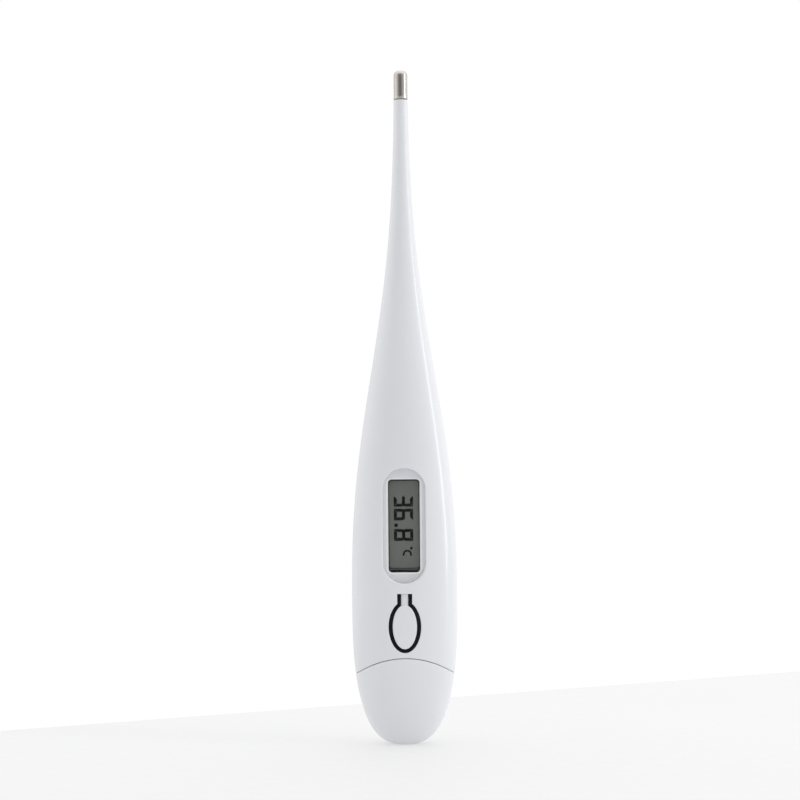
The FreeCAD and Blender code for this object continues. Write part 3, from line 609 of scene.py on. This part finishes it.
def segment_shapes(width):
    """The seven segments of a digit: right u, up v, from its lower left corner."""
    height, stroke, gap = DIGIT_HEIGHT, DIGIT_STROKE, DIGIT_GAP
    half = stroke / 2
    near, far = gap, width - gap

    def across(v, bottom, top):
        """Level segment that is bevelled at its bottom, at its top or at both."""
        if bottom and top:
            return [(near + half, v - half), (far - half, v - half), (far, v),
                    (far - half, v + half), (near + half, v + half), (near, v)]
        if top:
            return [(near, v - half), (far, v - half), (far - stroke, v + half),
                    (near + stroke, v + half)]
        return [(near + stroke, v - half), (far - stroke, v - half), (far, v + half),
                (near, v + half)]

    def upright(u, low, high, left, lower):
        """Segment at the left or right, in the lower or upper half."""
        inner = u + half if left else u - half
        outer = u - half if left else u + half
        if lower:
            return [(outer, low + gap), (inner, low + gap + stroke), (inner, high - gap - half),
                    (u, high - gap), (outer, high - gap - half)]
        return [(outer, low + gap + half), (u, low + gap), (inner, low + gap + half),
                (inner, high - gap - stroke), (outer, high - gap)]

    middle = height / 2
    return {"a": across(height - half, True, False),
            "g": across(middle, True, True),
            "d": across(half, False, True),
            "f": upright(half, middle, height, True, False),
            "e": upright(half, 0, middle, True, True),
            "b": upright(width - half, middle, height, False, False),
            "c": upright(width - half, 0, middle, False, True)}


def dot(radius):
    """Round sign."""
    return [(radius * math.cos(turn), radius * math.sin(turn)) for turn in circle(15)]


def letter_c():
    """Outline of the unit's letter, a bar that turns two quarter rounds."""
    bar, tall, corner = LETTER_BAR, LETTER_HEIGHT, LETTER_CORNER
    high = tall - corner

    def quarter(v, radius, start, end):
        """Quarter round from one angle to another."""
        return arc(corner, v, radius, radius, start, end, 6).tolist()

    cut = LETTER_ARM - LETTER_SLANT
    outer = [(LETTER_ARM, tall), *quarter(high, corner, 90, 180),
             *quarter(corner, corner, 180, 270), (LETTER_ARM, 0)]
    inner = [(cut, bar), *quarter(corner, corner - bar, 270, 180),
             *quarter(high, corner - bar, 180, 90), (cut, tall - bar)]
    return outer + inner


def make_digits(material):
    """The reading as thin slabs on the front polariser."""
    shell = Shell()
    front = span("front_polariser")[0].y - INK_LIFT
    back = front + INK_DEPTH

    def slab(points, start, foot):
        """Thin plate from points (right u, up v) of a sign that is read from the side."""
        outline = np.array([(foot + v, start - u) for u, v in points])
        top = shell.loop(at_depth(outline, front))
        bottom = shell.loop(at_depth(outline, back))
        shell.bridge(top, bottom)
        shell.faces.append(tuple(top))
        shell.faces.append(tuple(reversed(bottom)))

    for digit, start, width in DIGITS:
        shapes = segment_shapes(width)
        for name in DIGIT_SEGMENTS[digit]:
            slab(shapes[name], start, DIGIT_FOOT)
    slab(dot(POINT_RADIUS), POINT_START, POINT_FOOT)
    slab(dot(DEGREE_RADIUS), DEGREE_START, DEGREE_FOOT)
    slab(letter_c(), LETTER_START, LETTER_FOOT)
    return shell.piece("display_digits", material)


# ---- Metal tip --------------------------------------------------------------------------------

CAP_CORNER, CAP_WALL = 0.9 * MM, 0.12 * MM
# Radius and height over the rim of the ring where the cap's outside and inside meet.
CAP_MOUTH = (1.15 * MM, 0.02 * MM)
# The rolled rim: mm outwards and up.
CAP_RIM = ((0.0, 0.0), (0.05, 0.05), (0.06, 0.14), (0.03, 0.24), (0.0, 0.32))
CAP_CENTRE = 0.05 * MM


def make_tip(material):
    """Thin metal cap with a round nose and a small rolled rim."""
    shell = Shell()
    low, high = span("probe_cap")
    radius, corner, wall = high.x, CAP_CORNER, CAP_WALL
    mouth = (CAP_MOUTH[0], low.z + CAP_MOUTH[1])
    outer = [mouth] + [(radius + out * MM, low.z + up * MM) for out, up in CAP_RIM]
    outer += [(radius, z) for z in np.linspace(low.z + 0.6 * MM, high.z - corner, 6)]
    for turn in np.linspace(0, math.pi / 2, 12)[1:]:
        outer.append((radius - corner + corner * math.cos(turn),
                      high.z - corner + corner * math.sin(turn)))
    outer += [(radius - corner - 0.15 * MM, high.z), (CAP_CENTRE, high.z)]
    inner = [(CAP_CENTRE, high.z - wall), (radius - corner, high.z - wall)]
    for turn in np.linspace(math.pi / 2, 0, 8):
        inner.append((radius - corner + (corner - wall) * math.cos(turn),
                      high.z - corner + (corner - wall) * math.sin(turn)))
    inner.append(mouth)
    outside = shell.skin([round_ring(r, z) for r, z in outer])
    lining = shell.skin([round_ring(r, z) for r, z in inner])
    shell.cap(outside[-1])
    shell.cap(lining[0])
    shell.bridge(lining[-1], outside[0])
    return shell.piece("tip_cap", material)


# ---- Wires and click dome inside ----------------------------------------------------------------

# X and Z in mm, from the bead down the stem and to and fro above the board.
LEAD_ROUTE = ((0, 122.7), (0, 73.0), (3.6, 70.4), (-4.14, 66.6), (4.32, 62.6), (-1.8, 58.9),
              (0, 56.6), (0, 52.4))
LEAD_RADIUS, LEAD_OFFSET, LEAD_BEND = 0.11 * MM, 0.53 * MM, 1.1 * MM
BEND_STEPS = 9
LONG_RUN, SHORTEST_STEP = 8 * MM, 0.02 * MM
DOME_RADIUS = 2.0 * MM
# Y of the board's face and height of the dome, in mm.
BOARD_FACE, DOME_RISE = -0.4, 0.45
DOME_SHARES = (1.0, 0.94, 0.86, 0.76, 0.64, 0.5, 0.36, 0.22, 0.1)


def bent_route(points, cut):
    """Points along a wire that bends round each corner from cut before to cut after it."""
    made = [points[0]]
    for before, corner, after in zip(points, points[1:], points[2:]):
        start = corner + (before - corner) * min(0.45, cut / np.linalg.norm(before - corner))
        end = corner + (after - corner) * min(0.45, cut / np.linalg.norm(after - corner))
        for step in range(1, BEND_STEPS if np.linalg.norm(start - made[-1]) < LONG_RUN else 2):
            made.append(made[-1] + (start - made[-1]) / (BEND_STEPS - step))
        for share in np.linspace(0, 1, BEND_STEPS):
            made.append((1 - share) ** 2 * start + 2 * share * (1 - share) * corner
                        + share ** 2 * end)
    made.append(points[-1])
    kept = [made[0]]
    for point in made[1:]:
        if np.linalg.norm(point - kept[-1]) > SHORTEST_STEP:
            kept.append(point)
    return np.array(kept)


def make_leads(material):
    """Two enamelled wires from the bead, folded to and fro above the board."""
    shell = Shell()
    radius = LEAD_RADIUS
    for side in (-1, 1):
        route = bent_route(np.array([(side * x, z) for x, z in LEAD_ROUTE]) * MM, LEAD_BEND)
        along = np.gradient(route, axis=0)
        along /= np.linalg.norm(along, axis=1)[:, None]
        shell.prism([[(x + radius * math.cos(turn) * dz,
                       side * LEAD_OFFSET + radius * math.sin(turn),
                       z - radius * math.cos(turn) * dx) for turn in circle(30)]
                     for (x, z), (dx, dz) in zip(route, along)])
    return shell.piece("lead_wires", material)


def make_dome(material):
    """Thin pressed dome whose rim stands on the board."""
    shell = Shell()

    def ring(radius, y):
        """Circle round the peg's axis."""
        return [(radius * math.cos(turn), y, PEG_HEIGHT + radius * math.sin(turn))
                for turn in circle(7.5)]

    outer, inner = [], []
    for share in DOME_SHARES:
        wave = (math.cos(math.pi * share) + 1) / 2
        rise = DOME_RISE * (0.55 * wave + 0.45 * (1 - share ** 2))
        outer.append(ring(DOME_RADIUS * share, (BOARD_FACE - rise) * MM))
        inner.append(ring(DOME_RADIUS * share * 0.93, (BOARD_FACE - rise * 0.8) * MM))
    top, under = shell.skin(outer), shell.skin(inner)
    shell.cap(top[-1])
    shell.cap(under[-1])
    shell.bridge(top[0], under[0])
    return shell.piece("click_dome", material)


# ---- Materials --------------------------------------------------------------------------------

BUMP_DISTANCE = 0.01 * MM


def node(tree, kind, **values):
    """New node whose sockets, or else properties, take these values."""
    made = tree.nodes.new(kind)
    for name, value in values.items():
        label = name.replace("_", " ")
        if label in made.inputs:
            made.inputs[label].default_value = value
        else:
            setattr(made, name, value)
    return made


def plain(name, colour, roughness, metallic=0.0, **sockets):
    """Principled material with constant sockets."""
    made = bpy.data.materials.new(name)
    made.use_nodes = True
    shader = made.node_tree.nodes["Principled BSDF"]
    shader.inputs["Base Color"].default_value = (*colour, 1.0)
    shader.inputs["Roughness"].default_value = roughness
    shader.inputs["Metallic"].default_value = metallic
    for socket, value in sockets.items():
        shader.inputs[socket.replace("_", " ")].default_value = value
    return made


def noise(tree, scale, detail=3.0, stretch=(1, 1, 1)):
    """Noise over the object's own coordinates; scale is per metre."""
    place = node(tree, "ShaderNodeTexCoord")
    mapping = node(tree, "ShaderNodeMapping")
    mapping.inputs["Scale"].default_value = stretch
    tree.links.new(place.outputs["Object"], mapping.inputs["Vector"])
    made = node(tree, "ShaderNodeTexNoise", Scale=scale, Detail=detail)
    tree.links.new(mapping.outputs["Vector"], made.inputs["Vector"])
    return made.outputs["Fac"]


def remap(tree, value, start, stop, low, high):
    """Value mapped so that start to stop becomes low to high."""
    made = node(tree, "ShaderNodeMapRange", From_Min=start, From_Max=stop, To_Min=low, To_Max=high)
    tree.links.new(value, made.inputs["Value"])
    return made.outputs["Result"]


def spread(tree, value, low, high):
    """Middle half of a noise value mapped to low to high."""
    return remap(tree, value, 0.25, 0.75, low, high)


def ramp(tree, value, *stops):
    """Colour ramp through (position, colour) stops."""
    made = node(tree, "ShaderNodeValToRGB")
    elements = made.color_ramp.elements
    while len(elements) < len(stops):
        elements.new(0.5)
    for element, (position, colour) in zip(elements, stops):
        element.position = position
        element.color = (*colour, 1.0)
    tree.links.new(value, made.inputs["Fac"])
    return made.outputs["Color"]


def grey_ramp(tree, value, *stops):
    """Colour ramp through (position, level) stops."""
    return ramp(tree, value, *((position, (level,) * 3) for position, level in stops))


def bump(tree, shader, height, strength):
    """Fine relief on a shader from a height value."""
    made = node(tree, "ShaderNodeBump", Strength=strength, Distance=BUMP_DISTANCE)
    tree.links.new(height, made.inputs["Height"])
    tree.links.new(made.outputs["Normal"], shader.inputs["Normal"])


def grained(name, colour, tint, roughness, metallic=0.0, fine=4000, strength=0.15,
            stretch=(1, 1, 1), drift=150, **sockets):
    """Material whose colour drifts slowly and whose gloss and relief vary finely."""
    made = plain(name, colour, roughness[0], metallic, **sockets)
    tree = made.node_tree
    shader = tree.nodes["Principled BSDF"]
    grain = noise(tree, fine, 4.0, stretch)
    tree.links.new(spread(tree, grain, *roughness), shader.inputs["Roughness"])
    slow = noise(tree, drift, 2.0, stretch)
    tree.links.new(ramp(tree, slow, (0.35, colour), (0.65, tint)), shader.inputs["Base Color"])
    bump(tree, shader, grain, strength)
    return made


def clear(name, head_on, roughness):
    """Thin clear plate: see-through, mirroring more towards grazing angles, with faint smears."""
    made = plain(name, (1.0, 1.0, 1.0), roughness, 1.0)
    tree = made.node_tree
    shader = tree.nodes["Principled BSDF"]
    smear = noise(tree, 500, 3.0)
    tree.links.new(spread(tree, smear, roughness, roughness + 0.04), shader.inputs["Roughness"])
    see = node(tree, "ShaderNodeBsdfTransparent")
    glance = node(tree, "ShaderNodeLayerWeight", Blend=0.5)
    gloss = grey_ramp(tree, glance.outputs["Facing"], (0.0, head_on), (0.6, 3 * head_on),
                      (1.0, 0.6))
    mix = node(tree, "ShaderNodeMixShader")
    tree.links.new(gloss, mix.inputs[0])
    tree.links.new(see.outputs[0], mix.inputs[1])
    tree.links.new(shader.outputs[0], mix.inputs[2])
    tree.links.new(mix.outputs[0], tree.nodes["Material Output"].inputs["Surface"])
    return made


WHITE = grained("white_abs", (0.80, 0.807, 0.84), (0.79, 0.797, 0.832), (0.17, 0.23), fine=7000,
                strength=0.06, drift=90)
# Lighter white of the line round the window opening: a painted highlight for the bright rim there.
PAINTED_HIGHLIGHT_WHITE = grained("painted_highlight_white", (0.93, 0.93, 0.94), (0.91, 0.91, 0.92), (0.4, 0.5), fine=9000,
                 strength=0.1, drift=900)
FOAM = grained("gasket_foam", (0.010, 0.010, 0.011), (0.018, 0.018, 0.019), (0.75, 0.95), fine=9000,
               strength=0.6, drift=900, Specular_IOR_Level=0.2)
SEAL = grained("seal_rubber", (0.003, 0.003, 0.006), (0.006, 0.006, 0.010), (0.3, 0.4), fine=9000,
               strength=0.12, drift=900, Specular_IOR_Level=0.12)
STEEL = grained("tip_steel", (0.60, 0.565, 0.53), (0.54, 0.51, 0.48), (0.09, 0.16), 1.0, fine=5000,
                strength=0.03, stretch=(1, 1, 9), drift=700)
LENS = clear("lens_acrylic", 0.004, 0.02)
POLARISER = grained("polariser_film", (0.132, 0.142, 0.129), (0.142, 0.153, 0.138), (0.3, 0.42),
                    fine=12000, strength=0.1, drift=700)
LEDGE = grained("glass_edge", (0.07, 0.075, 0.09), (0.085, 0.09, 0.105), (0.25, 0.35), fine=9000,
                strength=0.1, drift=900)
INK = grained("liquid_crystal", (0.002, 0.002, 0.002), (0.004, 0.004, 0.004), (0.4, 0.5),
              fine=12000, strength=0.05, drift=2000, Specular_IOR_Level=0.1)
ENAMEL = grained("lead_enamel", (0.42, 0.13, 0.05), (0.50, 0.18, 0.07), (0.2, 0.32), 0.3, fine=6000,
                 strength=0.1)
DOME = grained("dome_steel", (0.62, 0.62, 0.61), (0.56, 0.56, 0.55), (0.15, 0.25), 1.0, fine=3500,
               strength=0.1, drift=400)


# ---- Scene ------------------------------------------------------------------------------------

def make_camera():
    """Camera in front at mid-height, rolled slightly as in the photograph."""
    data = bpy.data.cameras.new("camera")
    data.lens, data.sensor_width = 89.55, 36.0
    data.clip_start, data.clip_end = 0.01, 20.0
    camera = bpy.data.objects.new("camera", data)
    bpy.context.scene.collection.objects.link(camera)
    camera.location = (-0.00056, -0.37, 0.06382)
    camera.rotation_euler = (math.radians(90.0), math.radians(0.46), 0.0)
    bpy.context.scene.camera = camera


def area_light(name, place, target, size, power):
    """White rectangular light at a place, turned to a target."""
    data = bpy.data.lights.new(name, "AREA")
    data.shape = "RECTANGLE"
    data.size, data.size_y = size
    data.energy = power
    light = bpy.data.objects.new(name, data)
    bpy.context.scene.collection.objects.link(light)
    light.location = place
    light.rotation_euler = (Vector(target) - Vector(place)).to_track_quat("-Z", "Y").to_euler()


def make_floor():
    """Pale sheet whose back edge runs away from the object towards the right."""
    mesh = bpy.data.meshes.new("floor")
    # Half size, how much the back edge recedes per metre of X, and its Y behind the object.
    reach, slope, behind = 2.0, 0.439, 0.0522
    mesh.from_pydata([(-reach, -reach, 0), (reach, -reach, 0), (reach, behind + slope * reach, 0),
                      (-reach, behind - slope * reach, 0)], [], [(0, 1, 2, 3)])
    floor = bpy.data.objects.new("floor", mesh)
    bpy.context.scene.collection.objects.link(floor)
    mesh.materials.append(grained("floor_sheet", (0.42, 0.42, 0.42), (0.405, 0.405, 0.408),
                                  (0.5, 0.6), fine=400, strength=0.02, drift=8,
                                  Specular_IOR_Level=0.25, Emission_Strength=0.41,
                                  Emission_Color=(1.0, 1.0, 1.0, 1.0)))


# Colour sockets of a Mix node.
MIX_FACTOR, MIX_A, MIX_B, MIX_RESULT = 0, 6, 7, 2
# Brightness from the camera's side (0) to straight behind the object (1).
ROOM_LEVELS = ((0.0, 0.10), (0.02, 0.21), (0.06, 0.31), (0.12, 0.40), (0.3, 0.75), (0.5, 1.0),
               (0.72, 0.88), (1.0, 0.66))
# What is added along an axis: its name, where the addition starts, where it is full, and how much.
ROOM_LEANS = (("X", -0.4, 1.0, 0.26), ("X", -0.5, -1.0, 0.22), ("Z", 0.2, 1.0, 0.42))


def make_world():
    """White room: dimmer on the camera's side, brighter above and to both sides."""
    world = bpy.data.worlds.new("studio")
    bpy.context.scene.world = world
    world.use_nodes = True
    tree = world.node_tree
    place = node(tree, "ShaderNodeTexCoord")
    split = node(tree, "ShaderNodeSeparateXYZ")
    tree.links.new(place.outputs["Generated"], split.inputs[0])
    depth = remap(tree, split.outputs["Y"], -1.0, 1.0, 0.0, 1.0)
    room = grey_ramp(tree, depth, *ROOM_LEVELS)
    for axis, start, stop, amount in ROOM_LEANS:
        extra = remap(tree, split.outputs[axis], start, stop, 0.0, amount)
        total = node(tree, "ShaderNodeMix", data_type="RGBA", blend_type="ADD")
        total.inputs[MIX_FACTOR].default_value = 1.0
        tree.links.new(room, total.inputs[MIX_A])
        tree.links.new(extra, total.inputs[MIX_B])
        room = total.outputs[MIX_RESULT]
    path = node(tree, "ShaderNodeLightPath")
    backdrop = node(tree, "ShaderNodeMix", data_type="RGBA")
    backdrop.inputs[MIX_B].default_value = (1.0, 1.0, 1.0, 1.0)
    tree.links.new(path.outputs["Is Camera Ray"], backdrop.inputs[MIX_FACTOR])
    tree.links.new(room, backdrop.inputs[MIX_A])
    tree.links.new(backdrop.outputs[MIX_RESULT], tree.nodes["Background"].inputs["Color"])


make_camera()
make_floor()
make_world()
bpy.context.scene.view_settings.view_transform = "Standard"
area_light("strip_right", (0.45, -0.12, 0.10), (0, 0, 0.07), (0.022, 0.5), 0.5)

add(make_housing(WHITE), "housing", "housing_white", "housing")
add(make_battery_cover(WHITE), "battery_cover", "housing_white", "battery_cover")
add(make_button(WHITE), "button", "housing_white", "button")
add(make_button_seal(SEAL), "housing", "seal_black", "button_seal")
add(make_lens(LENS), "housing", "lens_clear", "window_lens")
add(make_window_frame(PAINTED_HIGHLIGHT_WHITE), "housing", "housing_white")
add(make_gasket(FOAM), "carrier", "foam_black", "display_gasket")
add(make_glass_ledge(LEDGE), "carrier", "display_glass")
add(make_digits(INK), "carrier", "polariser_film")
add(make_tip(STEEL), "housing", "tip_steel", "probe_cap")
leads = make_leads(ENAMEL)
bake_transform(leads)
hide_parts("sensor_leads")
dome = add(make_dome(DOME), "carrier", "contact_metal", "snap_dome")
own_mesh(dome)

# CAD nodes that keep their shape take a better material: colour, the tint it drifts to, roughness,
# metallic, grain per metre and relief.
FINISHES = {
    # Near-black ring under the tip: partly the ring's own dark colour, partly painted shade for the
    # gap under the cap.
    "cap_seal_ring": ((0.012, 0.012, 0.012), (0.02, 0.02, 0.02), (0.4, 0.6), 0.0, 6000, 0.3),
    "thermistor_bead": ((0.10, 0.07, 0.05), (0.14, 0.10, 0.07), (0.1, 0.2), 0.0, 3000, 0.1),
    "tip_potting": ((0.55, 0.52, 0.42), (0.60, 0.57, 0.47), (0.3, 0.5), 0.0, 3000, 0.2),
    "carrier": ((0.72, 0.72, 0.70), (0.76, 0.76, 0.74), (0.35, 0.5), 0.0, 4000, 0.2),
    "display_front_glass": ((0.55, 0.60, 0.56), (0.57, 0.62, 0.58), (0.05, 0.12), 0.0, 3000, 0.05),
    "display_rear_glass": ((0.50, 0.55, 0.51), (0.52, 0.57, 0.53), (0.05, 0.12), 0.0, 3000, 0.05),
    "display_reflector": ((0.62, 0.63, 0.62), (0.68, 0.69, 0.68), (0.3, 0.45), 0.8, 5000, 0.2),
    "contact_strip": ((0.42, 0.40, 0.36), (0.36, 0.34, 0.31), (0.55, 0.7), 0.0, 3000, 0.3),
    "cell_can": ((0.62, 0.61, 0.59), (0.54, 0.53, 0.51), (0.2, 0.34), 1.0, 2500, 0.15),
    "cell_gasket": ((0.22, 0.25, 0.22), (0.26, 0.29, 0.26), (0.4, 0.5), 0.0, 5000, 0.2),
    "cell_cap": ((0.64, 0.63, 0.61), (0.57, 0.56, 0.54), (0.16, 0.3), 1.0, 2500, 0.15),
    "negative_contact": ((0.66, 0.63, 0.56), (0.58, 0.55, 0.49), (0.2, 0.32), 1.0, 3500, 0.15),
    "positive_contact": ((0.66, 0.63, 0.56), (0.58, 0.55, 0.49), (0.2, 0.32), 1.0, 3500, 0.15),
    "buzzer_disc": ((0.66, 0.50, 0.22), (0.58, 0.43, 0.18), (0.22, 0.36), 1.0, 3000, 0.2),
    "buzzer_ceramic": ((0.72, 0.70, 0.64), (0.66, 0.64, 0.58), (0.35, 0.5), 0.0, 5000, 0.3),
    "buzzer_wires": ((0.55, 0.03, 0.02), (0.48, 0.025, 0.02), (0.35, 0.45), 0.0, 5000, 0.2),
    "chip_blob": ((0.014, 0.014, 0.015), (0.022, 0.022, 0.023), (0.18, 0.3), 0.0, 2500, 0.3),
    "chip_parts": ((0.03, 0.03, 0.03), (0.08, 0.07, 0.06), (0.3, 0.5), 0.0, 4000, 0.2),
    "solder_joints": ((0.66, 0.67, 0.68), (0.56, 0.57, 0.58), (0.14, 0.28), 1.0, 3500, 0.3),
}


def refinish(name, made):
    """Give a CAD node a material."""
    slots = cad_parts[name].data.materials
    slots.clear()
    slots.append(made)


def board_finish():
    """Green solder mask with slightly raised, lighter tracks."""
    made = plain("board_finish", (0.01, 0.16, 0.06), 0.35)
    tree = made.node_tree
    shader = tree.nodes["Principled BSDF"]
    place = node(tree, "ShaderNodeTexCoord")
    tracks = node(tree, "ShaderNodeTexBrick", Scale=420.0, Mortar_Size=0.06,
                  Color1=(0, 0, 0, 1), Color2=(0, 0, 0, 1), Mortar=(1, 1, 1, 1))
    turned = node(tree, "ShaderNodeMapping")
    turned.inputs["Rotation"].default_value = (math.radians(90), 0, 0)
    tree.links.new(place.outputs["Object"], turned.inputs["Vector"])
    tree.links.new(turned.outputs["Vector"], tracks.inputs["Vector"])
    tree.links.new(ramp(tree, tracks.outputs["Color"], (0.0, (0.008, 0.12, 0.045)),
                        (1.0, (0.03, 0.26, 0.10))), shader.inputs["Base Color"])
    grain = noise(tree, 4000)
    tree.links.new(spread(tree, grain, 0.28, 0.42), shader.inputs["Roughness"])
    bump(tree, shader, tracks.outputs["Color"], 0.5)
    return made


for name, (colour, tint, rough, metal, fine, strength) in FINISHES.items():
    refinish(name, grained(name + "_finish", colour, tint, rough, metal, fine, strength, drift=400))
refinish("front_polariser", POLARISER)
refinish("circuit_board", board_finish())
